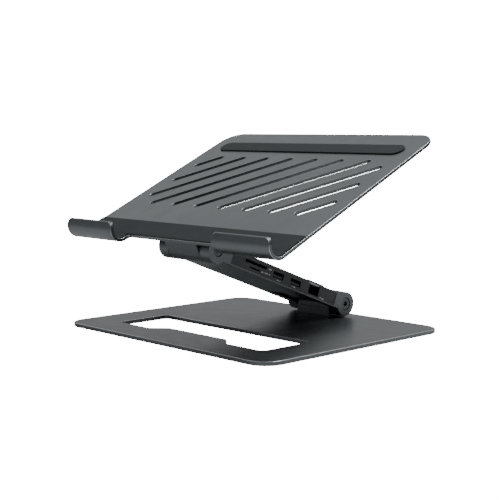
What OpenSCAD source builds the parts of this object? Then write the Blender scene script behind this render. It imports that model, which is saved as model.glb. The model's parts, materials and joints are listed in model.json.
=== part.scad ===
// Folding laptop stand with a port hub built into its arm.
// A flat base plate carries a friction hinge at its rear.  The arm rises forward from that hinge,
// and a second friction hinge at its tip carries the slotted tray.
// Origin: on the desk, under the centre of the base plate.  +X is right, -Y is the user's side, +Z is up.

/* [Base] */
// Width of the base plate, left to right
base_w = 240; // [232:1:250]
// Depth of the base plate, front to back
base_d = 204; // [202:1:214]
// Thickness of the base plate
base_t = 3.6; // [3.2:0.1:4.2]
// Radius of the base plate's corners
base_corner_r = 17; // [10:1:24]
// How far the rubber feet stand out below the plate
foot_h = 1.2; // [0.8:0.1:1.6]

/* [Arm] */
// Distance from the base hinge to the tray hinge
arm_len = 158; // [154:1:162]
// Width of the arm
arm_w = 60; // [58:1:64]
// Slope of the arm above the desk in the rest position, in degrees
arm_angle = 21; // [18:1:24]

/* [Tray] */
// Width of the tray
tray_w = 241; // [236:1:250]
// Length of the tray along its slope
tray_len = 202.5; // [198:0.5:208]
// Thickness of the tray's sheet
tray_t = 2.8; // [2:0.1:3]
// Height of the front hooks above the tray's surface
hook_h = 17.4; // [15:0.2:20]
// Number of diagonal cooling slots
slot_count = 10; // [6:1:11]
// Slope of the tray above the desk in the rest position, in degrees
tray_angle = 25.2; // [22:0.2:28]

/* [Hidden] */

$fn = 72;
cut = 0.01;                 // a cutter reaches this far past a face
fit_gap = 0.02;             // radial room of a part that is pressed or screwed in
run_gap = 0.04;             // radial room of a shaft that turns in its bush
head_gap = 0.08;            // radial room of a countersunk head
head_sink = 0.2;            // how far a countersunk head lies below the surface

// Colours
dark_metal = [0.44, 0.45, 0.46];
arm_metal = [0.34, 0.35, 0.36];
steel = [0.62, 0.63, 0.64];
bronze = [0.66, 0.52, 0.30];
soft_black = [0.15, 0.16, 0.17];
hard_black = [0.12, 0.13, 0.13];
board_green = [0.08, 0.24, 0.16];
gold = [0.83, 0.68, 0.30];

// Heights of the base, from the desk up
plate_top = foot_h + base_t;
foot_sink = 0.8;            // how deep a foot is let into the plate

// Base plate cut-out, with a tab that reaches into it from the front
cutout_w = 172;
cutout_front = -71.4;
cutout_back = -19.8;
cutout_r = 4.5;
tab_back = -59.6;
tab_back_w = 69;
tab_front_w = 93;
tab_r = 4;

// Feet: four long pads, one along the front and rear of each side
foot_l = 52;
foot_w = 11;
foot_inset = 11;

// Base hinge, in the middle of the rear of the plate
base_axis_y = 83.5;
base_axis_z = foot_h + 15;
base_barrel_r = 10.2;
base_knuckle_r = 8.8;
base_shaft_r = 4;
bracket_half_w = 18.6;
bracket_front = 9.5;        // the block's front face, ahead of the hinge axis
bracket_back = 12;
bracket_block_top = 4.2;    // how far the block's top lies below the hinge axis
bracket_screw_x = 12;
bracket_screw_r = 2;
bracket_screw_head_r = 3.8;
bracket_screw_l = 7.5;
bracket_screw_ahead = 4.5;  // the front pair, ahead of the axis
bracket_screw_behind = 7;   // the rear pair, behind the axis

// Arm, in its own frame: the base hinge axis is at 0, and a distance along the arm is -Y
arm_under = -6;
arm_top = 6.7;
cheek_in = 19.3;            // inner face of the two cheeks of each fork
disc_t = 0.6;               // friction disc between a bracket and a cheek
cavity_from = 14.5;
cavity_to = arm_len - 15.5;
cavity_under = -4.9;
cavity_top = 5;
window_under = -5.1;
window_top = 5.8;
panel_t = 2;
panel_sink = 0.3;
base_fork = 9.3;            // the arm's middle starts this far from the base hinge axis
tip_fork = 10.8;            // and ends this far short of the tray hinge axis
notch_half_w = 20;
notch_to = 46;
notch_roof = -3.6;
pan_t = 1;
cover_half_w = 24.9;
cover_from = 9.6;
cover_to = arm_len - 11.6;
cover_head_r = 1.6;         // head of a cover screw
fairing_from = 23;          // the top rises from here to the base barrel
fairing_to = 1.5;
fairing_top = 10.1;
hump_from = 32;             // a raised strip over the network jack
hump_to = 54.5;
hump_h = 0.65;
hump_in = 7;
cover_t = 1.1;

// Tray hinge, at the tip of the arm
tip_rise = 0.5;             // its axis lies this far above the base hinge axis, square to the arm
tip_barrel_r = 10.2;
tip_knuckle_r = 10.2;
tip_disc_r = 7.2;
tip_shaft_r = 3.2;

// Tray frame: Y is the distance up the slope, Z is above the top surface
tray_axis_y = 25.4;
tray_axis_z = -14.2;
bend_r = 10.6;              // outer radius of the hooks' bend
bend_y = 8.6;               // middle of the bend
hook_lean = 30;             // how far a hook's wall leans back over the tray, in degrees
hook_in = 60;               // half of the gap between the two hooks
hook_corner_r = 5;
tray_corner_r = 18;
centre_front = 12.9;        // the tray's front edge between the hooks
slot_w = 6.8;
slot_pitch = 28.6;
slot_shift = -1.7;          // the row of slots lies this far to one side
slot_field_x = 106.5;
slot_field_front = 63.6;
slot_field_back = 156.2;
front_pad_from = 13.1;
front_pad_to = 34.9;
front_pad_t = 0.9;
rear_pad_from = 166;
rear_pad_to = 181.5;
rear_pad_w = 211;
rear_pad_t = 1;
bracket_plate_t = 3.6;      // the tray bracket's rear plate
bracket_plate_to = 17;
tray_screw_x = 13.5;
tray_screw_y = [20.4, 31.4];
tray_screw_r = 1.5;
tray_screw_head_r = 2.9;
tray_screw_l = 8;

// Circuit board and the ports, as [distance along the arm, height, width, opening height]
board_under = -1;
board_top = 0.2;
board_half_w = 26;
board_from = 18;
board_to = cavity_to - 2.5;
board_screw_x = 8;
board_screw_at = [27, 134];
sd_port = [115.3, 2.3, 24.6, 2.4];
microsd_port = [115.3, -1.9, 11.8, 1.2];
usb_ports = [[87.8, 0.4, 12.5, 5.0], [66.4, 0.4, 12.5, 5.0]];
ethernet_at = 42.9;
hdmi_port = [67, 0.5, 14.2, 4.7];
usb_c_ports = [[104, 1.95, 8.5, 2.7], [124, 1.95, 8.5, 2.7]];
port_face = arm_w / 2 - panel_sink - panel_t - 0.04; // the sockets end just behind the panels

// ---------------------------------------------------------------- frames

// Puts its children on the arm
module on_arm() {
    translate([0, base_axis_y, base_axis_z])
        rotate([-arm_angle, 0, 0])
            children();
}

// Moves its children from the arm's frame to the tray hinge axis
module at_tip() {
    translate([0, -arm_len, tip_rise])
        children();
}

// Puts its children on the tray
module on_tray() {
    on_arm()
        at_tip()
            rotate([arm_angle + tray_angle, 0, 0])
                translate([0, -tray_axis_y, -tray_axis_z])
                    children();
}

// ---------------------------------------------------------------- shapes

function unit(v) = v / norm(v);

// Points of an arc of radius r that rounds the corner b between a and c
function corner_arc(a, b, c, r, steps) =
    let (
        u = unit(a - b),
        v = unit(c - b),
        half = acos(u * v) / 2,
        centre = b + unit(u + v) * r / sin(half),
        start = b + u * r / tan(half) - centre,
        end = b + v * r / tan(half) - centre,
        from = atan2(start.y, start.x),
        sweep = (atan2(end.y, end.x) - from + 540) % 360 - 180
    )
    [for (i = [0 : steps]) centre + r * [cos(from + sweep * i / steps), sin(from + sweep * i / steps)]];

// An outline from corners given as [x, y, radius]
function rounded(corners, steps = 10) =
    let (n = len(corners), at = [for (c = corners) [c[0], c[1]]])
    [for (i = [0 : n - 1])
        each corners[i][2] > 0
            ? corner_arc(at[(i + n - 1) % n], at[i], at[(i + 1) % n], corners[i][2], steps)
            : [at[i]]];

function rounded_box(w, d, r) =
    rounded([[-w / 2, -d / 2, r], [w / 2, -d / 2, r], [w / 2, d / 2, r], [-w / 2, d / 2, r]]);

// A box from its lowest to its highest corner
module span(low, high) {
    translate(low)
        cube(high - low);
}

// A round bar along X
module bar(r, from, to) {
    translate([from, 0, 0])
        rotate([0, 90, 0])
            cylinder(r = r, h = to - from);
}

// The same bar on the right and on the left
module bar_pair(r, from, to) {
    bar(r, from, to);
    bar(r, -to, -from);
}

// Rings of one hinge side, repeated on the other side
module ring_pair(outer, inner, from, to) {
    for (side = [0, 1])
        mirror([side, 0, 0])
            difference() {
                bar(outer, from, to);
                bar(inner, from - 1, to + 1);
            }
}

// An outline in Y and Z, drawn out along X
module profile(points, from, to) {
    translate([from, 0, 0])
        rotate([90, 0, 90])
            linear_extrude(to - from)
                polygon(points);
}

// A countersunk screw with its flat head up at z = 0
module countersunk_screw(r, head_r, length) {
    difference() {
        union() {
            translate([0, 0, -length])
                cylinder(r = r, h = length - 0.1);
            translate([0, 0, r - head_r])
                cylinder(r1 = r, r2 = head_r, h = head_r - r);
        }
        translate([0, 0, -1.1])
            cylinder(r = r * 0.62, h = 2, $fn = 6);
    }
}

// The hole for a countersunk screw whose head is let in by sink: a through hole and the head's cone
module countersunk_hole(r, head_r, depth, sink) {
    wide = head_r + head_gap;
    translate([0, 0, -depth])
        cylinder(r = r, h = depth + 1);
    translate([0, 0, -sink - wide + r])
        cylinder(r1 = r, r2 = wide, h = wide - r);
    translate([0, 0, -sink - cut])
        cylinder(r = wide, h = sink + 1);
}

// ---------------------------------------------------------------- base

module base_screw_places() {
    for (x = [-bracket_screw_x, bracket_screw_x])
        for (y = [base_axis_y - bracket_screw_ahead, base_axis_y + bracket_screw_behind])
            translate([x, y, foot_h])
                rotate([180, 0, 0])
                    children();
}

module foot_places() {
    for (x = [-1, 1])
        for (y = [-1, 1])
            translate([x * (base_w / 2 - foot_inset - foot_l / 2), y * (base_d / 2 - foot_inset), 0])
                children();
}

module cutout_outline() {
    difference() {
        translate([0, (cutout_front + cutout_back) / 2])
            polygon(rounded_box(cutout_w, cutout_back - cutout_front, cutout_r));
        polygon(rounded([
            [-tab_front_w / 2, cutout_front, 0], [-tab_front_w / 2, cutout_front - 5, 0],
            [tab_front_w / 2, cutout_front - 5, 0], [tab_front_w / 2, cutout_front, 0],
            [tab_back_w / 2, tab_back, tab_r], [-tab_back_w / 2, tab_back, tab_r]
        ]));
    }
}

module base_plate() {
    color(dark_metal)
        difference() {
            translate([0, 0, foot_h])
                linear_extrude(base_t)
                    polygon(rounded_box(base_w, base_d, base_corner_r));
            linear_extrude(plate_top + 1)
                cutout_outline();
            foot_places()
                linear_extrude(foot_h + foot_sink)
                    polygon(rounded_box(foot_l + 0.2, foot_w + 0.2, foot_w / 2));
            base_screw_places()
                countersunk_hole(bracket_screw_r + 0.2, bracket_screw_head_r, base_t + 1, head_sink);
        }
}

module base_feet() {
    color(soft_black)
        foot_places()
            linear_extrude(foot_h + foot_sink)
                polygon(rounded_box(foot_l, foot_w, foot_w / 2 - 0.1));
}

module base_bracket() {
    color(dark_metal)
        difference() {
            translate([0, base_axis_y, base_axis_z]) {
                profile([
                    [-bracket_front, plate_top - base_axis_z], [bracket_back, plate_top - base_axis_z],
                    [bracket_back, -bracket_block_top - 2], [base_knuckle_r, 0],
                    [-base_knuckle_r, 0], [-base_knuckle_r, -bracket_block_top],
                    [-bracket_front, -bracket_block_top]
                ], -bracket_half_w, bracket_half_w);
                bar(base_knuckle_r, -bracket_half_w, bracket_half_w);
            }
            translate([0, base_axis_y, base_axis_z])
                bar(base_shaft_r + fit_gap, -arm_w, arm_w);
            base_screw_places()
                translate([0, 0, -bracket_screw_l - 0.5])
                    cylinder(r = bracket_screw_r + fit_gap, h = bracket_screw_l);
        }
}

module base_bracket_screws() {
    color(steel)
        base_screw_places()
            translate([0, 0, -head_sink])
                countersunk_screw(bracket_screw_r, bracket_screw_head_r, bracket_screw_l);
}

// ---------------------------------------------------------------- one hinge, drawn round its axis

module hinge_shaft(shaft_r) {
    difference() {
        bar(shaft_r, -arm_w / 2 + 3.4, arm_w / 2 - 3.4);
        bar_pair(1.5 + fit_gap, arm_w / 2 - 12, arm_w / 2);
    }
}

module hinge_bushes(shaft_r, bush_r) {
    ring_pair(bush_r - fit_gap, shaft_r + run_gap, cheek_in + 0.05, arm_w / 2 - 4.2);
}

module friction_discs(shaft_r, disc_r) {
    ring_pair(disc_r, shaft_r + run_gap, cheek_in - disc_t - 0.05, cheek_in - 0.05);
}

module spring_washers(shaft_r, washer_r) {
    ring_pair(washer_r, shaft_r + run_gap, arm_w / 2 - 4.1, arm_w / 2 - 3.4);
}

// A flat bolt at each end, screwed into the shaft, with a hexagon socket
module hinge_bolts(head_r, socket_r) {
    for (side = [0, 1])
        mirror([side, 0, 0])
            difference() {
                union() {
                    bar(head_r, arm_w / 2 - 3.3, arm_w / 2 - 0.5);
                    bar(1.5, arm_w / 2 - 11, arm_w / 2 - 3);
                }
                translate([arm_w / 2 - 2.3, 0, 0])
                    rotate([0, 90, 0])
                        cylinder(r = socket_r, h = 3, $fn = 6);
            }
}

// What a cheek has to be cut away for
module cheek_bores(bush_r, head_r) {
    bar_pair(bush_r, cheek_in - 1, arm_w / 2 - 3.9);
    bar_pair(head_r + 0.4, arm_w / 2 - 4.15, arm_w / 2 + 1);
}

base_bush_r = 5.8;
base_head_r = 5.2;
base_socket_r = 2.4;
tip_bush_r = 4.7;
tip_head_r = 4.3;
tip_socket_r = 2;

module base_hinge_shaft() {
    color(steel)
        on_arm()
            hinge_shaft(base_shaft_r);
}

module base_hinge_bushes() {
    color(bronze)
        on_arm()
            hinge_bushes(base_shaft_r, base_bush_r);
}

module base_hinge_bolts() {
    color(steel)
        on_arm()
            hinge_bolts(base_head_r, base_socket_r);
}

module base_friction_discs() {
    color(bronze)
        on_arm()
            friction_discs(base_shaft_r, base_knuckle_r - 0.4);
}

module base_spring_washers() {
    color(steel)
        on_arm()
            spring_washers(base_shaft_r, base_head_r);
}

module tray_hinge_shaft() {
    color(steel)
        on_arm()
            at_tip()
                hinge_shaft(tip_shaft_r);
}

module tray_hinge_bushes() {
    color(bronze)
        on_arm()
            at_tip()
                hinge_bushes(tip_shaft_r, tip_bush_r);
}

module tray_hinge_bolts() {
    color(steel)
        on_arm()
            at_tip()
                hinge_bolts(tip_head_r, tip_socket_r);
}

module tray_friction_discs() {
    color(bronze)
        on_arm()
            at_tip()
                friction_discs(tip_shaft_r, tip_disc_r);
}

module tray_spring_washers() {
    color(steel)
        on_arm()
            at_tip()
                spring_washers(tip_shaft_r, tip_head_r);
}

// ---------------------------------------------------------------- arm

cover_screws = [
    [-22.5, 12], [22.5, 12], [-18, cover_to - 2.1], [18, cover_to - 2.1]
];

module board_screw_places() {
    for (x = [-board_screw_x, board_screw_x])
        for (at = board_screw_at)
            translate([x, -at, 0])
                children();
}

module cover_screw_places() {
    for (place = cover_screws)
        translate([place[0], -place[1], arm_under])
            rotate([180, 0, 0])
                children();
}

module arm_body() {
    half = arm_w / 2;
    difference() {
        union() {
            span([-half, -arm_len, arm_under], [half, 0, arm_top]);
            bar(base_barrel_r, -half, half);
            at_tip()
                bar(tip_barrel_r, -half, half);
            profile([
                [-fairing_from, arm_top - 2], [-fairing_to, arm_top - 2],
                [-fairing_to, fairing_top], [-fairing_from, arm_top]
            ], -half, half);
            profile([
                [-hump_to, arm_top - 1], [-hump_from, arm_top - 1], [-hump_from, arm_top],
                [-hump_from - 2, arm_top + hump_h], [-hump_to + 2, arm_top + hump_h], [-hump_to, arm_top]
            ], hump_in, half);
        }
        // the two forks
        span([-cheek_in, -base_fork, -20], [cheek_in, 20, 20]);
        span([-cheek_in, -arm_len - 20, -20], [cheek_in, -arm_len + tip_fork, 20]);
        // room for the electronics, open at both sides and below
        span([-half + panel_t + 0.6, -cavity_to, cavity_under],
             [half - panel_t - 0.6, -cavity_from, cavity_top]);
        span([-half - 1, -cavity_to, window_under], [-half + panel_t + 0.7, -cavity_from, window_top]);
        span([half - panel_t - 0.7, -cavity_to, window_under], [half + 1, -cavity_from, window_top]);
        span([-cover_half_w - 0.1, -cover_to - 0.1, arm_under - 1],
             [cover_half_w + 0.1, -cover_from + 0.1, arm_under + cover_t + cut]);
        // the notch that the base bracket folds into
        span([-notch_half_w, -cavity_from - 1, arm_under - 1], [notch_half_w, 0, notch_roof]);
    }
}

module arm_shell() {
    color(arm_metal)
        on_arm()
            difference() {
                union() {
                    arm_body();
                    board_screw_places()
                        translate([0, 0, board_top])
                            cylinder(r = 2.6, h = cavity_top - board_top + 0.5);
                }
                cheek_bores(base_bush_r, base_head_r);
                at_tip()
                    cheek_bores(tip_bush_r, tip_head_r);
                board_screw_places()
                    translate([0, 0, board_top - 1])
                        cylinder(r = 1 + fit_gap, h = 4.6);
                cover_screw_places()
                    translate([0, 0, -4.4])
                        cylinder(r = 1 + fit_gap, h = 5);
            }
}

module arm_bottom_cover() {
    color(arm_metal)
        on_arm()
            difference() {
                union() {
                    span([-cover_half_w, -cover_to, arm_under],
                         [cover_half_w, -cover_from, arm_under + cover_t]);
                    span([-notch_half_w - pan_t, -notch_to - pan_t, arm_under],
                         [notch_half_w + pan_t, -cavity_from - 0.1, notch_roof + pan_t]);
                }
                span([-notch_half_w, -notch_to, arm_under - 1], [notch_half_w, 0, notch_roof]);
                cover_screw_places()
                    countersunk_hole(1.15, cover_head_r, 3, 0.1);
            }
}

module arm_cover_screws() {
    color(steel)
        on_arm()
            cover_screw_places()
                translate([0, 0, -0.1])
                    countersunk_screw(1, cover_head_r, 4);
}

// A blank panel that fills the window on the right side
module panel_blank() {
    half = arm_w / 2;
    span([half - panel_t - panel_sink, -cavity_to + 0.1, window_under + 0.05],
         [half - panel_sink, -cavity_from - 0.1, window_top - 0.05]);
}

// A cutter for a port's opening in the right panel
module port_cut(port) {
    span([arm_w / 2 - 5, -port[0] - port[2] / 2, port[1] - port[3] / 2],
         [arm_w / 2 + 1, -port[0] + port[2] / 2, port[1] + port[3] / 2]);
}

module right_port_panel() {
    color(hard_black)
        on_arm()
            difference() {
                panel_blank();
                port_cut(sd_port);
                port_cut(microsd_port);
                for (port = usb_ports)
                    port_cut(port);
                span([arm_w / 2 - 5, -ethernet_at - jack_open_w / 2, jack_open_under],
                     [arm_w / 2 + 1, -ethernet_at + jack_open_w / 2, jack_top - 0.05]);
                span([arm_w / 2 - 5, -jack_lip_to - 0.1, jack_top - 0.1],
                     [arm_w / 2 + 1, -jack_lip_from + 0.1, window_top + 1]);
            }
}

module left_port_panel() {
    color(hard_black)
        on_arm()
            mirror([1, 0, 0])
                difference() {
                    panel_blank();
                    port_cut(hdmi_port);
                    for (port = usb_c_ports)
                        port_cut(port);
                }
}

// A metal port shell: a box tube that is closed at its inner end
module port_shell(port, wall, depth) {
    difference() {
        span([port_face - depth, -port[0] - port[2] / 2 - wall, port[1] - port[3] / 2 - wall],
             [port_face, -port[0] + port[2] / 2 + wall, port[1] + port[3] / 2 + wall]);
        span([port_face - depth + wall, -port[0] - port[2] / 2, port[1] - port[3] / 2],
             [port_face + 1, -port[0] + port[2] / 2, port[1] + port[3] / 2]);
    }
}

tongue_reach = 1.2;

// The plastic tongue that carries a port's contacts, and reaches into the panel's opening
module port_tongue(port, wall, depth, width, thickness, rise) {
    translate([0, -port[0], port[1] + rise])
        span([port_face - depth + wall + 0.01, -width / 2, -thickness / 2],
             [port_face + tongue_reach, width / 2, thickness / 2]);
}

usb_depth = 14;
usb_wall = 0.5;
usb_c_depth = 8;
usb_c_wall = 0.35;
hdmi_depth = 11.5;
hdmi_wall = 0.45;

module usb_a_shells() {
    color(steel)
        on_arm()
            for (port = usb_ports)
                port_shell(port, usb_wall, usb_depth);
}

module usb_a_tongues() {
    color(hard_black)
        on_arm()
            for (port = usb_ports)
                port_tongue(port, usb_wall, usb_depth, 11.1, 1.84, -0.9);
}

module hdmi_shell() {
    color(steel)
        on_arm()
            mirror([1, 0, 0])
                port_shell(hdmi_port, hdmi_wall, hdmi_depth);
}

module hdmi_tongue() {
    color(hard_black)
        on_arm()
            mirror([1, 0, 0])
                port_tongue(hdmi_port, hdmi_wall, hdmi_depth, 10.6, 1.0, 0.3);
}

module usb_c_shells() {
    color(steel)
        on_arm()
            mirror([1, 0, 0])
                for (port = usb_c_ports)
                    port_shell(port, usb_c_wall, usb_c_depth);
}

module usb_c_tongues() {
    color(hard_black)
        on_arm()
            mirror([1, 0, 0])
                for (port = usb_c_ports)
                    port_tongue(port, usb_c_wall, usb_c_depth, 6.7, 0.7, 0);
}

// Network jack: a plated shield round a moulded insert, whose opening has a lower notch for the latch.
// Its nose is taller than the rest, and a lip above the opening shows in the panel.
jack_from = 35;
jack_to = 51;
jack_depth = 18;
jack_under = -2.5;
jack_low = -4.3;
jack_nose = 21.8;           // the nose starts this far from the middle of the arm
jack_top = 4.9;
jack_wall = 0.4;
jack_open_w = 13;
jack_open_under = -3.6;
jack_lip_from = 37.6;
jack_lip_to = 50.4;
jack_lip_t = 0.8;

// The jack's outer shape, drawn in by gap on every side but the front
module jack_block(gap, front) {
    span([port_face - jack_depth + gap, -jack_to + gap, jack_under + gap],
         [front, -jack_from - gap, jack_top - gap]);
    span([jack_nose + gap, -jack_to + gap, jack_low + gap],
         [front, -jack_from - gap, jack_under + gap + 0.5]);
}

module ethernet_shield() {
    color(steel)
        on_arm() {
            difference() {
                jack_block(0, port_face);
                jack_block(jack_wall, port_face + 1);
            }
            span([port_face - 0.3, -jack_lip_to, jack_top - 0.05],
                 [arm_w / 2 - 0.4, -jack_lip_from, jack_top + jack_lip_t]);
        }
}

module ethernet_insert() {
    open_half = jack_open_w / 2 - 0.3;
    latch_half = 3.1;
    color(hard_black)
        on_arm()
            difference() {
                jack_block(jack_wall + 0.02, port_face - 0.3);
                span([port_face - 13, -ethernet_at - open_half, jack_under + 1.6],
                     [port_face + 1, -ethernet_at + open_half, jack_top - jack_wall - 0.5]);
                span([jack_nose + 1, -ethernet_at - latch_half, jack_low + jack_wall + 0.5],
                     [port_face + 1, -ethernet_at + latch_half, jack_under + 3]);
            }
}

module ethernet_contacts() {
    color(gold)
        on_arm()
            for (i = [0 : 7])
                translate([0, -ethernet_at + (i - 3.5) * 1.02, 0])
                    profile([[-0.22, 3.96], [0.22, 3.96], [0.22, 3.3], [-0.22, 3.3]],
                            port_face - 12.9, port_face - 4);
}

module card_socket(port, from, to, depth) {
    half = port[2] / 2 + 1.1;
    difference() {
        span([port_face - depth, -port[0] - half, from], [port_face, -port[0] + half, to]);
        span([port_face - depth + 1.5, -port[0] - port[2] / 2, port[1] - port[3] / 2],
             [port_face + 1, -port[0] + port[2] / 2, port[1] + port[3] / 2]);
    }
}

module sd_socket() {
    color(steel)
        on_arm()
            card_socket(sd_port, board_top + 0.02, sd_port[1] + sd_port[3] / 2 + 0.35, 23);
}

module microsd_socket() {
    color(steel)
        on_arm()
            card_socket(microsd_port, microsd_port[1] - microsd_port[3] / 2 - 0.35, board_under - 0.02, 14);
}

// Room in the board for the ports that sit in its edge
module board_edge_cuts() {
    for (port = usb_ports)
        span([port_face - usb_depth - 0.5, -port[0] - 8, -5], [arm_w, -port[0] + 8, 5]);
    span([port_face - jack_depth - 0.5, -jack_to - 0.5, -5], [arm_w, -jack_from + 0.5, 5]);
    span([-arm_w, -hdmi_port[0] - 8.5, -5], [-port_face + hdmi_depth + 0.5, -hdmi_port[0] + 8.5, 5]);
}

module circuit_board() {
    color(board_green)
        on_arm()
            difference() {
                span([-board_half_w, -board_to, board_under], [board_half_w, -board_from, board_top - 0.02]);
                board_edge_cuts();
                board_screw_places()
                    translate([0, 0, -5])
                        cylinder(r = 1.15, h = 10);
            }
}

module board_screws() {
    color(steel)
        on_arm()
            board_screw_places() {
                translate([0, 0, board_under - 0.02])
                    cylinder(r = 1, h = 4);
                difference() {
                    translate([0, 0, board_under - 1])
                        cylinder(r = 1.9, h = 0.98);
                    translate([0, 0, board_under - 1.1])
                        cylinder(r = 0.8, h = 0.7, $fn = 6);
                }
            }
}

// Chips, as [across, distance along the arm, width, length, height]
chips = [
    [-2, 98, 12, 12, 1.1], [2, 76, 9, 9, 1.0], [-6, 52, 8, 8, 1.0], [-14, 124, 5, 6, 0.9]
];

module hub_chips() {
    color(hard_black)
        on_arm()
            for (c = chips)
                span([c[0] - c[2] / 2, -c[1] - c[3] / 2, board_top],
                     [c[0] + c[2] / 2, -c[1] + c[3] / 2, board_top + c[4]]);
}

module heat_pad() {
    c = chips[0];
    half = c[2] / 2 - 0.5;
    color([0.55, 0.57, 0.62])
        on_arm()
            span([c[0] - half, -c[1] - half, board_top + c[4] + 0.01],
                 [c[0] + half, -c[1] + half, cavity_top - 0.02]);
}

// ---------------------------------------------------------------- tray

module tray_screw_places() {
    for (x = [-tray_screw_x, 0, tray_screw_x])
        for (y = tray_screw_y)
            translate([x, y, 0])
                children();
}

// A point at radius r and angle a round the middle of the hooks' bend, in the tray's Y and Z
function bend_point(r, a) = [bend_y + r * cos(a), bend_r - tray_t + r * sin(a)];

function bend_arc(r, from, to) = [for (a = [from : (to > from ? 7.5 : -7.5) : to]) bend_point(r, a)];

bend_end = 180 - hook_lean;
wall_way = [sin(hook_lean), cos(hook_lean)];

// How long a hook's straight wall is, for a top that lies this high above the tray
function wall_length(height, r) = (height - bend_point(r, bend_end).y) / wall_way.y;

// Cross-section of a hook: the bend, the leaning wall and its round top
function hook_section() =
    let (
        round_r = tray_t / 2,
        middle = bend_r - round_r,
        top = bend_point(middle, bend_end) + wall_way * wall_length(hook_h - round_r, middle)
    )
    concat(
        [[bend_y + 1, -tray_t]],
        bend_arc(bend_r, 270, bend_end),
        [for (a = [bend_end : -15 : bend_end - 180]) top + round_r * [cos(a), sin(a)]],
        bend_arc(bend_r - tray_t, bend_end, 270),
        [[bend_y + 1, 0]]
    );

module hooks() {
    half = tray_w / 2;
    for (side = [0, 1])
        mirror([side, 0, 0])
            intersection() {
                profile(hook_section(), hook_in - 1, half + 1);
                translate([0, bend_y + 2, 0])
                    rotate([90, 0, 0])
                        linear_extrude(bend_r + 4)
                            polygon(rounded([
                                [hook_in, -tray_t - 1, 0], [half, -tray_t - 1, 0],
                                [half, hook_h + cut, hook_corner_r], [hook_in, hook_h + cut, hook_corner_r]
                            ]));
            }
}

// One cooling slot on a 45 degree line that crosses the field's mid-height at x = offset
module slot_outline(offset) {
    r = slot_w / 2;
    middle = (slot_field_front + slot_field_back) / 2;
    reach = (slot_field_back - slot_field_front) / 2 - r;
    from = max(-reach, -slot_field_x + r - offset);
    to = min(reach, slot_field_x - r - offset);
    polygon(concat(
        [for (a = [-45 : 15 : 135]) [offset + to, middle + to] + r * [cos(a), sin(a)]],
        [for (a = [135 : 15 : 315]) [offset + from, middle + from] + r * [cos(a), sin(a)]]
    ));
}

module tray_plate() {
    half = tray_w / 2;
    color(dark_metal)
        on_tray()
            difference() {
                union() {
                    translate([0, 0, -tray_t])
                        linear_extrude(tray_t)
                            polygon(rounded([
                                [-half, bend_y, 0], [-hook_in, bend_y, 0],
                                [-hook_in, centre_front, 3], [hook_in, centre_front, 3],
                                [hook_in, bend_y, 0], [half, bend_y, 0],
                                [half, tray_len, tray_corner_r], [-half, tray_len, tray_corner_r]
                            ], 14));
                    hooks();
                }
                translate([0, 0, -tray_t - 1])
                    linear_extrude(tray_t + 2)
                        for (i = [0 : slot_count - 1])
                            slot_outline((i - (slot_count - 1) / 2) * slot_pitch + slot_shift);
                tray_screw_places()
                    countersunk_hole(tray_screw_r + 0.15, tray_screw_head_r, tray_t + 1, head_sink);
            }
}

module tray_bracket() {
    r = tip_knuckle_r;
    top = -tray_axis_z - tray_t - 0.01;
    color(arm_metal)
        on_tray()
            difference() {
                translate([0, tray_axis_y, tray_axis_z]) {
                    profile(rounded([
                        [-r, 0, 0], [r, 0, 0], [r, top - bracket_plate_t, 1.6],
                        [bracket_plate_to, top - bracket_plate_t, 0], [bracket_plate_to, top, 0], [-r, top, 0]
                    ], 5), -bracket_half_w, bracket_half_w);
                    bar(r, -bracket_half_w, bracket_half_w);
                }
                translate([0, tray_axis_y, tray_axis_z])
                    bar(tip_shaft_r + fit_gap, -arm_w, arm_w);
                tray_screw_places()
                    translate([0, 0, -tray_screw_l - 0.5])
                        cylinder(r = tray_screw_r + fit_gap, h = tray_screw_l);
            }
}

module tray_bracket_screws() {
    color(steel)
        on_tray()
            tray_screw_places()
                translate([0, 0, -head_sink])
                    countersunk_screw(tray_screw_r, tray_screw_head_r, tray_screw_l);
}

module front_pad() {
    half = tray_w / 2 - 0.9;
    color(soft_black)
        on_tray()
            translate([0, 0, 0.01])
                linear_extrude(front_pad_t)
                    polygon([
                        [-half, front_pad_from], [half, front_pad_from],
                        [half, front_pad_to], [-half, front_pad_to]
                    ]);
}

// Cross-section of the lining of a hook: across the floor, round the bend and up the wall
function lining_section() =
    let (
        outer = bend_r - tray_t - 0.02,
        inner = bend_r - tray_t - front_pad_t,
        length = wall_length(hook_h - 3.5, inner)
    )
    concat(
        [[front_pad_from - 0.02, 0.02]],
        bend_arc(outer, 270, bend_end),
        [bend_point(outer, bend_end) + wall_way * length, bend_point(inner, bend_end) + wall_way * length],
        bend_arc(inner, bend_end, 270),
        [[front_pad_from - 0.02, front_pad_t]]
    );

module hook_pads() {
    color(soft_black)
        on_tray()
            for (side = [0, 1])
                mirror([side, 0, 0])
                    profile(lining_section(), hook_in + 0.9, tray_w / 2 - 0.9);
}

module rear_pad() {
    depth = rear_pad_to - rear_pad_from;
    color(soft_black)
        on_tray()
            translate([0, (rear_pad_from + rear_pad_to) / 2, 0.01])
                linear_extrude(rear_pad_t)
                    polygon(rounded_box(rear_pad_w, depth, depth / 2 - 0.01));
}

// ---------------------------------------------------------------- every node

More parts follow.
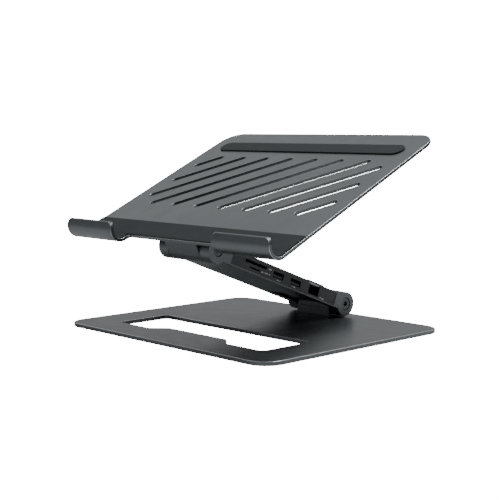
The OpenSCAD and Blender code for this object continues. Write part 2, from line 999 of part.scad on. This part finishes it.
base_plate();
base_feet();
base_bracket();
base_bracket_screws();
base_hinge_shaft();
base_hinge_bushes();
base_hinge_bolts();
base_friction_discs();
base_spring_washers();
arm_shell();
arm_bottom_cover();
arm_cover_screws();
right_port_panel();
left_port_panel();
circuit_board();
board_screws();
hub_chips();
heat_pad();
usb_a_shells();
usb_a_tongues();
ethernet_shield();
ethernet_insert();
ethernet_contacts();
sd_socket();
microsd_socket();
hdmi_shell();
hdmi_tongue();
usb_c_shells();
usb_c_tongues();
tray_hinge_shaft();
tray_hinge_bushes();
tray_hinge_bolts();
tray_friction_discs();
tray_spring_washers();
tray_bracket();
tray_bracket_screws();
tray_plate();
front_pad();
hook_pads();
rear_pad();
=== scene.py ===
"""Looks of the folding laptop stand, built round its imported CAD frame.

Every length is in metres, in the frame of the CAD model.
"""

import json
import math

import bmesh
import bpy
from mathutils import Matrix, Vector


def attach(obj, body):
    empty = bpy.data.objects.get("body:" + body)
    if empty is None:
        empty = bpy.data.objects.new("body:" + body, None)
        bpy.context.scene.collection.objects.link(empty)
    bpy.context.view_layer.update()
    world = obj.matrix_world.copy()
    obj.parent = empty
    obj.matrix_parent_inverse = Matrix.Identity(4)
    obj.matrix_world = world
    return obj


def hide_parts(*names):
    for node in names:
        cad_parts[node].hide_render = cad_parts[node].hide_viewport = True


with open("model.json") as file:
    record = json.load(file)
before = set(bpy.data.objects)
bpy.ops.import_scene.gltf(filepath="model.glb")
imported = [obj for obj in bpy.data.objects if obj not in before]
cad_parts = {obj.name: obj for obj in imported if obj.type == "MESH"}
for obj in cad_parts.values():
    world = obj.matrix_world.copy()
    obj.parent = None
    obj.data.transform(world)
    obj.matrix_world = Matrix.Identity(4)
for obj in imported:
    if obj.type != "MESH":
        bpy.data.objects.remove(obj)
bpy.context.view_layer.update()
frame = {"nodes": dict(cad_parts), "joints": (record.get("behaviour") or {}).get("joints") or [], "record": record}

MM = 0.001

# ------------------------------------------------------------------ the frame's own directions

HINGES = {joint["name"]: Vector(joint["pos_m"]) for joint in frame["joints"]}
ARM_SLOPE = math.radians(21)
ARM_ALONG = Vector((0, -math.cos(ARM_SLOPE), math.sin(ARM_SLOPE)))
ARM_UP = Vector((0, math.sin(ARM_SLOPE), math.cos(ARM_SLOPE)))
RIGHT = Vector((1, 0, 0))


def arm_point(x, along, up):
    """A point on the arm, in millimetres from the base hinge axis."""
    return HINGES["base_hinge"] + (RIGHT * x + ARM_ALONG * along + ARM_UP * up) * MM


# ------------------------------------------------------------------ materials

def add(tree, kind, sockets=None, **settings):
    """A new shader node. A socket's value is a number, a colour or another node's output."""
    made = tree.nodes.new(kind)
    for name, value in settings.items():
        setattr(made, name, value)
    for name, value in (sockets or {}).items():
        if isinstance(value, bpy.types.NodeSocket):
            tree.links.new(value, made.inputs[name])
        else:
            made.inputs[name].default_value = value
    return made


def start(name, **sockets):
    """A new material, with its tree, its shader and the coordinates of the object."""
    made = bpy.data.materials.new(name)
    made.use_nodes = True
    tree = made.node_tree
    shader = tree.nodes["Principled BSDF"]
    for socket, value in sockets.items():
        shader.inputs[socket.replace("_", " ")].default_value = value
    place = add(tree, "ShaderNodeTexCoord").outputs["Object"]
    return made, tree, shader, place


def noise(tree, place, scale, detail=2.0, roughness=0.5, distortion=0.0):
    values = {
        "Vector": place, "Scale": scale, "Detail": detail, "Roughness": roughness, "Distortion": distortion}
    return add(tree, "ShaderNodeTexNoise", values).outputs["Fac"]


def remap(tree, value, low, high, from_low=0.3, from_high=0.7):
    values = {"Value": value, "From Min": from_low, "From Max": from_high, "To Min": low, "To Max": high}
    return add(tree, "ShaderNodeMapRange", values).outputs["Result"]


def blend_colours(tree, value, first, second, from_low=0.3, from_high=0.7):
    share = remap(tree, value, 0.0, 1.0, from_low, from_high)
    made = add(tree, "ShaderNodeMix", {"Factor": share}, data_type="RGBA")
    for index, colour in ((6, first), (7, second)):
        if isinstance(colour, bpy.types.NodeSocket):
            tree.links.new(colour, made.inputs[index])
        else:
            made.inputs[index].default_value = colour
    return made.outputs[2]


def bump(tree, height, depth, strength=1.0, under=None):
    values = {"Height": height, "Distance": depth, "Strength": strength}
    if under is not None:
        values["Normal"] = under
    return add(tree, "ShaderNodeBump", values).outputs["Normal"]


def shade(colour, factor):
    return (colour[0] * factor, colour[1] * factor, colour[2] * factor, 1.0)


def anodised(name, colour, roughness, grain=0.035):
    """Bead-blasted, anodised aluminium: a fine matte grain, faint clouds and a few handling smudges."""
    made, tree, shader, place = start(name, Metallic=1.0)
    clouds = noise(tree, place, 16, 3)
    shader_colour = blend_colours(tree, clouds, shade(colour, 0.94), shade(colour, 1.06))
    smudges = noise(tree, place, 42, 5, 0.6, 0.8)
    rough = remap(tree, smudges, roughness - 0.035, roughness + 0.045)
    blasted = noise(tree, place, 2400, 2, 0.6)
    waves = noise(tree, place, 130, 2)
    gentle = bump(tree, waves, 0.05 * MM, 0.25)
    tree.links.new(shader_colour, shader.inputs["Base Color"])
    tree.links.new(rough, shader.inputs["Roughness"])
    tree.links.new(bump(tree, blasted, grain * MM, 0.55, gentle), shader.inputs["Normal"])
    return made


def cut_edge(name, colour, roughness):
    """A bright machined edge, with fine tool marks."""
    made, tree, shader, place = start(name, Metallic=1.0)
    marks = noise(tree, place, 900, 3, 0.6)
    tree.links.new(
        blend_colours(tree, marks, shade(colour, 0.86), shade(colour, 1.05)), shader.inputs["Base Color"])
    tree.links.new(remap(tree, marks, roughness - 0.04, roughness + 0.07), shader.inputs["Roughness"])
    return made


def rubber(name, colour, roughness=0.72, grain=0.06):
    """Matte silicone rubber: a fine skin, a little dust and soft uneven patches."""
    made, tree, shader, place = start(name, Specular_IOR_Level=0.35)
    patches = noise(tree, place, 60, 4, 0.6)
    base = blend_colours(tree, patches, shade(colour, 0.88), shade(colour, 1.12))
    dust = noise(tree, place, 900, 3, 0.7)
    dusty = blend_colours(tree, dust, base, shade((0.16, 0.16, 0.16), 1.0), 0.62, 0.95)
    skin = noise(tree, place, 1700, 3, 0.6)
    tree.links.new(dusty, shader.inputs["Base Color"])
    tree.links.new(remap(tree, patches, roughness - 0.06, roughness + 0.08), shader.inputs["Roughness"])
    tree.links.new(bump(tree, skin, grain * MM, 0.6), shader.inputs["Normal"])
    return made


def moulded(name, colour, roughness=0.5, pebble=0.05, scale=1500):
    """Moulded plastic with a spark-eroded texture."""
    made, tree, shader, place = start(name)
    cells = add(tree, "ShaderNodeTexVoronoi", {"Vector": place, "Scale": scale, "Randomness": 1.0})
    tint = noise(tree, place, 45, 3)
    tree.links.new(
        blend_colours(tree, tint, shade(colour, 0.9), shade(colour, 1.12)), shader.inputs["Base Color"])
    tree.links.new(remap(tree, tint, roughness - 0.05, roughness + 0.06), shader.inputs["Roughness"])
    tree.links.new(bump(tree, cells.outputs["Distance"], pebble * MM, 0.5), shader.inputs["Normal"])
    return made


def steel(name, colour, roughness, stretch=(0.12, 1.0, 1.0)):
    """Turned or drawn steel, with fine marks that run along the short side of stretch."""
    made, tree, shader, place = start(name, Metallic=1.0)
    stretched = add(tree, "ShaderNodeMapping", {"Vector": place, "Scale": stretch}).outputs["Vector"]
    marks = noise(tree, stretched, 1400, 3, 0.6)
    stain = noise(tree, place, 150, 3)
    tree.links.new(
        blend_colours(tree, stain, shade(colour, 0.88), shade(colour, 1.08)), shader.inputs["Base Color"])
    tree.links.new(remap(tree, marks, roughness - 0.06, roughness + 0.1), shader.inputs["Roughness"])
    tree.links.new(bump(tree, marks, 0.01 * MM, 0.5), shader.inputs["Normal"])
    return made


def sintered(name, colour):
    """Sintered bronze, whose pores hold oil."""
    made, tree, shader, place = start(name, Metallic=1.0)
    pores = add(tree, "ShaderNodeTexVoronoi", {"Vector": place, "Scale": 2600.0}).outputs["Distance"]
    pitted = blend_colours(tree, pores, shade(colour, 0.45), shade(colour, 1.0), 0.1, 0.4)
    tree.links.new(pitted, shader.inputs["Base Color"])
    tree.links.new(remap(tree, pores, 0.55, 0.35, 0.1, 0.5), shader.inputs["Roughness"])
    tree.links.new(bump(tree, pores, 0.03 * MM, 0.6), shader.inputs["Normal"])
    return made


def printed_board(name):
    """Green solder mask over copper tracks, with tinned vias."""
    made, tree, shader, place = start(name)
    tracks = add(
        tree, "ShaderNodeTexBrick",
        {"Vector": place, "Scale": 260.0, "Mortar Size": 0.09, "Brick Width": 1.3, "Row Height": 0.35,
         "Color1": (0.012, 0.085, 0.04, 1), "Color2": (0.014, 0.1, 0.046, 1),
         "Mortar": (0.03, 0.19, 0.085, 1)})
    vias = add(tree, "ShaderNodeTexVoronoi", {"Vector": place, "Scale": 330.0, "Randomness": 0.7})
    spots = vias.outputs["Distance"]
    tinned = blend_colours(tree, spots, (0.5, 0.48, 0.42, 1), tracks.outputs["Color"], 0.10, 0.14)
    tree.links.new(tinned, shader.inputs["Base Color"])
    tree.links.new(remap(tree, spots, 0.28, 0.42, 0.1, 0.5), shader.inputs["Roughness"])
    tree.links.new(bump(tree, tracks.outputs["Fac"], 0.03 * MM, 0.6), shader.inputs["Normal"])
    return made


def seen_white(tree, surface):
    """What the camera sees as plain white, while everything else meets the surface itself."""
    camera = add(tree, "ShaderNodeLightPath").outputs["Is Camera Ray"]
    white = add(tree, "ShaderNodeEmission", {"Color": (1, 1, 1, 1), "Strength": STAGE_WHITE}).outputs[0]
    made = add(tree, "ShaderNodeMixShader", {"Fac": camera})
    tree.links.new(surface, made.inputs[1])
    tree.links.new(white, made.inputs[2])
    return made.outputs[0]


def floor_finish():
    made, tree, shader, place = start("studio_floor", Specular_IOR_Level=0.2)
    grain = noise(tree, place, 30, 3)
    pale = blend_colours(tree, grain, (0.68, 0.68, 0.68, 1), (0.72, 0.72, 0.72, 1))
    tree.links.new(pale, shader.inputs["Base Color"])
    tree.links.new(remap(tree, grain, 0.6, 0.7), shader.inputs["Roughness"])
    tree.links.new(seen_white(tree, shader.outputs[0]), tree.nodes["Material Output"].inputs["Surface"])
    return made


# How bright the floor and the backdrop are to the camera alone
STAGE_WHITE = 18.0
PLATE = (0.15, 0.166, 0.176)
ARM = (0.14, 0.154, 0.162)
MATERIALS = {
    "plate_metal": anodised("plate_metal", PLATE, 0.34),
    "arm_metal": anodised("arm_metal", ARM, 0.4),
    "bright_edge": cut_edge("bright_edge", (0.48, 0.5, 0.52), 0.3),
    "arm_edge": cut_edge("arm_edge", (0.2, 0.21, 0.22), 0.34),
    "screw_steel": steel("screw_steel", (0.24, 0.24, 0.25), 0.34),
    "hinge_steel": steel("hinge_steel", (0.5, 0.5, 0.51), 0.28),
    "bolt_steel": steel("bolt_steel", (0.11, 0.117, 0.122), 0.36),
    "bush_bronze": sintered("bush_bronze", (0.5, 0.34, 0.16)),
    "panel_plastic": moulded("panel_plastic", (0.032, 0.037, 0.039), 0.46),
    "port_plastic": moulded("port_plastic", (0.012, 0.012, 0.013), 0.4, 0.02),
    "port_metal": steel("port_metal", (0.36, 0.365, 0.37), 0.34, (1.0, 0.2, 0.2)),
    "contact_metal": steel("contact_metal", (0.78, 0.56, 0.22), 0.25),
    "board": printed_board("board"),
    "chip_plastic": moulded("chip_plastic", (0.02, 0.02, 0.021), 0.45, 0.03, 2600),
    "heat_pad": rubber("heat_pad", (0.3, 0.33, 0.4), 0.6),
    "pad_rubber": rubber("pad_rubber", (0.018, 0.0235, 0.027)),
    "foot_rubber": rubber("foot_rubber", (0.028, 0.029, 0.03)),
    "print_white": moulded("print_white", (0.62, 0.63, 0.64), 0.55, 0.01, 3000),
}

# ------------------------------------------------------------------ shapes

RECORD_SLOT = {part["node"]: part["material_slot"] for part in frame["record"]["subparts"]}
BODY_OF = {node: body for body, nodes in frame["record"]["behaviour"]["bodies"].items() for node in nodes}


def new_piece(name, mesh, body, slot, *materials):
    """Links a mesh as a piece that rides on a body."""
    made = bpy.data.objects.new(name, mesh)
    bpy.context.scene.collection.objects.link(made)
    for finish in materials:
        made.data.materials.append(MATERIALS[finish])
    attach(made, body)
    return made


# Points closer than this are one; faces that meet at less than FLAT_ANGLE degrees become one face,
# and edges sharper than SHARP_ANGLE degrees are broken
WELD = 0.002 * MM
FLAT_ANGLE = 0.6
SHARP_ANGLE = 38


def clean_copy(node):
    """A copy of a CAD node's mesh with its faces whole again, ready for its edges to be worked."""
    work = bmesh.new()
    work.from_mesh(frame["nodes"][node].data)
    bmesh.ops.remove_doubles(work, verts=work.verts, dist=WELD)
    bmesh.ops.dissolve_limit(
        work, angle_limit=math.radians(FLAT_ANGLE), verts=work.verts, edges=work.edges,
        use_dissolve_boundaries=False)
    for face in work.faces:
        face.smooth = True
        face.material_index = 0
    mesh = bpy.data.meshes.new(node + "_worked")
    work.to_mesh(mesh)
    work.free()
    for layer in [layer for layer in mesh.attributes if layer.name == "custom_normal"]:
        mesh.attributes.remove(layer)
    return mesh


def finished(node, edge, steps, edge_finish):
    """Stands for a CAD node with its sharp edges broken, as the real part's are."""
    slot = RECORD_SLOT[node]
    mesh = clean_copy(node)
    made = new_piece(node + "_finished", mesh, BODY_OF[node], slot, slot, edge_finish or slot)
    bevel = made.modifiers.new("edges", "BEVEL")
    bevel.width = edge
    bevel.segments = steps
    bevel.limit_method = "ANGLE"
    bevel.angle_limit = math.radians(SHARP_ANGLE)
    bevel.miter_outer = "MITER_ARC" if steps > 1 else "MITER_SHARP"
    bevel.harden_normals = True
    # the plates' round corners have short edges, which would hold the whole chamfer back
    bevel.use_clamp_overlap = edge_finish != "bright_edge"
    bevel.material = 1
    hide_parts(node)
    return made


# Nodes whose edges show: [edge in millimetres, steps, finish of the edge]
EDGES = {
    "base_plate": (0.6, 1, "bright_edge"),
    "tray_plate": (0.37, 1, "bright_edge"),
    "base_bracket": (0.5, 2, "arm_edge"),
    "tray_bracket": (0.4, 2, "arm_edge"),
    "arm_shell": (0.3, 2, "arm_edge"),
    "arm_bottom_cover": (0.15, 1, "arm_edge"),
    "right_port_panel": (0.15, 2, None),
    "left_port_panel": (0.15, 2, None),
    "base_feet": (0.4, 3, None),
    "front_pad": (0.25, 3, None),
    "hook_pads": (0.2, 2, None),
    "rear_pad": (0.5, 3, None),
    "base_hinge_bolts": (0.3, 2, None),
    "tray_hinge_bolts": (0.3, 2, None),
    "usb_a_shells": (0.12, 2, None),
    "usb_c_shells": (0.1, 2, None),
    "hdmi_shell": (0.1, 2, None),
    "ethernet_shield": (0.12, 2, None),
    "ethernet_insert": (0.12, 2, None),
    "usb_a_tongues": (0.15, 2, None),
    "usb_c_tongues": (0.08, 2, None),
    "hdmi_tongue": (0.08, 2, None),
    "hub_chips": (0.08, 2, None),
    "base_bracket_screws": (0.12, 2, None),
    "arm_cover_screws": (0.08, 2, None),
}
for name, (edge, steps, edge_finish) in EDGES.items():
    finished(name, edge * MM, steps, edge_finish)


def arm_boxes(name, boxes, slot, finish):
    """Boxes on the arm, each as its two ends across, along and up, in millimetres from the base hinge."""
    corners = []
    faces = []
    for across, along, up in boxes:
        first = len(corners)
        corners += [arm_point(side, run, rise) for side in across for run in along for rise in up]
        for face in ((0, 1, 3, 2), (4, 6, 7, 5), (0, 4, 5, 1), (2, 3, 7, 6), (0, 2, 6, 4), (1, 5, 7, 3)):
            faces.append([first + corner for corner in face])
    mesh = bpy.data.meshes.new(name)
    mesh.from_pydata(corners, [], faces)
    new_piece(name, mesh, "arm", slot, finish)


def around(middle, size):
    return (middle - size / 2, middle + size / 2)


# Plain printed marks beside the ports, as [along, up, length, height]
PANEL_FACE = (29.69, 29.715)
MARKS = [
    (98.8, 2.6, 3.0, 1.1), (98.2, -1.8, 2.2, 0.8), (102.2, -1.8, 3.4, 0.8), (106.4, -1.8, 2.2, 0.8),
    (87.2, -3.4, 2.6, 0.7), (84.6, -3.4, 1.0, 0.7), (66.6, -3.4, 2.6, 0.7), (69.2, -3.4, 1.0, 0.7),
    (29.4, -3.6, 1.4, 0.9), (31.4, -3.6, 1.4, 0.9), (33.4, -3.6, 1.4, 0.9),
]
marks = [(PANEL_FACE, around(run, length), around(rise, height)) for run, rise, length, height in MARKS]
arm_boxes("panel_marks", marks, "panel_plastic", "print_white")

# Gold contact strips on the tongues of the two large ports
strips = [port + step for port in (87.8, 66.4) for step in (-3.5, -1.1, 1.1, 3.5)]
arm_boxes(
    "usb_a_contacts", [((19.0, 28.4), around(strip, 1.1), (0.41, 0.45)) for strip in strips],
    "contact_metal", "contact_metal")

for name, node in frame["nodes"].items():
    node.data.materials.clear()
    node.data.materials.append(MATERIALS[RECORD_SLOT[name]])


# ------------------------------------------------------------------ floor, light and camera

def make_floor():
    mesh = bpy.data.meshes.new("floor")
    reach = 6.0
    corners = [(-reach, -reach, 0), (reach, -reach, 0), (reach, reach, 0), (-reach, reach, 0)]
    mesh.from_pydata(corners, [], [(0, 1, 2, 3)])
    made = bpy.data.objects.new("floor", mesh)
    bpy.context.scene.collection.objects.link(made)
    mesh.materials.append(floor_finish())


def make_light(name, place, target, size, power):
    """A soft box that faces a target."""
    lamp = bpy.data.lights.new(name, "AREA")
    lamp.shape = "RECTANGLE"
    lamp.size = size[0]
    lamp.size_y = size[1]
    lamp.energy = power
    made = bpy.data.objects.new(name, lamp)
    made.location = place
    made.rotation_euler = (Vector(target) - Vector(place)).to_track_quat("-Z", "Y").to_euler()
    bpy.context.scene.collection.objects.link(made)


def make_world(bright_way, dark, bright, low_share):
    """A studio brightest on one side and dimmer near the floor, behind a backdrop seen as white."""
    world = bpy.data.worlds.new("studio")
    world.use_nodes = True
    tree = world.node_tree
    way = add(tree, "ShaderNodeTexCoord").outputs["Generated"]
    toward = Vector(bright_way).normalized()
    facing = add(tree, "ShaderNodeVectorMath", {0: way, 1: toward}, operation="DOT_PRODUCT")
    level = remap(tree, facing.outputs["Value"], dark, bright, -0.5, 0.95)
    height = add(tree, "ShaderNodeSeparateXYZ", {"Vector": way}).outputs["Z"]
    share = remap(tree, height, low_share, 1.0, 0.0, 0.55)
    level = add(tree, "ShaderNodeMath", {0: level, 1: share}, operation="MULTIPLY").outputs[0]
    studio = add(tree, "ShaderNodeBackground", {"Color": (1, 1, 1, 1), "Strength": level}).outputs[0]
    tree.links.new(seen_white(tree, studio), tree.nodes["World Output"].inputs["Surface"])
    bpy.context.scene.world = world


def make_camera(azimuth, elevation, distance, target, view_angle):
    """A camera that looks at target from an azimuth and elevation in degrees."""
    turn = math.radians(azimuth)
    rise = math.radians(elevation)
    back = Vector((math.sin(turn) * math.cos(rise), -math.cos(turn) * math.cos(rise), math.sin(rise)))
    lens = bpy.data.cameras.new("camera")
    lens.sensor_width = 36
    lens.lens = 18 / math.tan(math.radians(view_angle) / 2)
    lens.clip_start = 0.01
    lens.clip_end = 50
    made = bpy.data.objects.new("camera", lens)
    made.location = Vector(target) + back * distance
    made.rotation_euler = back.to_track_quat("Z", "Y").to_euler()
    bpy.context.scene.collection.objects.link(made)
    bpy.context.scene.camera = made


make_floor()
make_world(bright_way=(-0.74, 0.42, 0.55), dark=0.13, bright=0.76, low_share=0.32)
make_light("top_box", place=(0.42, 0.55, 1.35), target=(0, 0, 0.08), size=(0.6, 0.6), power=17)
make_camera(
    azimuth=46.28, elevation=6.19, distance=0.932, target=(-0.00198, 0, 0.06666), view_angle=24.97)
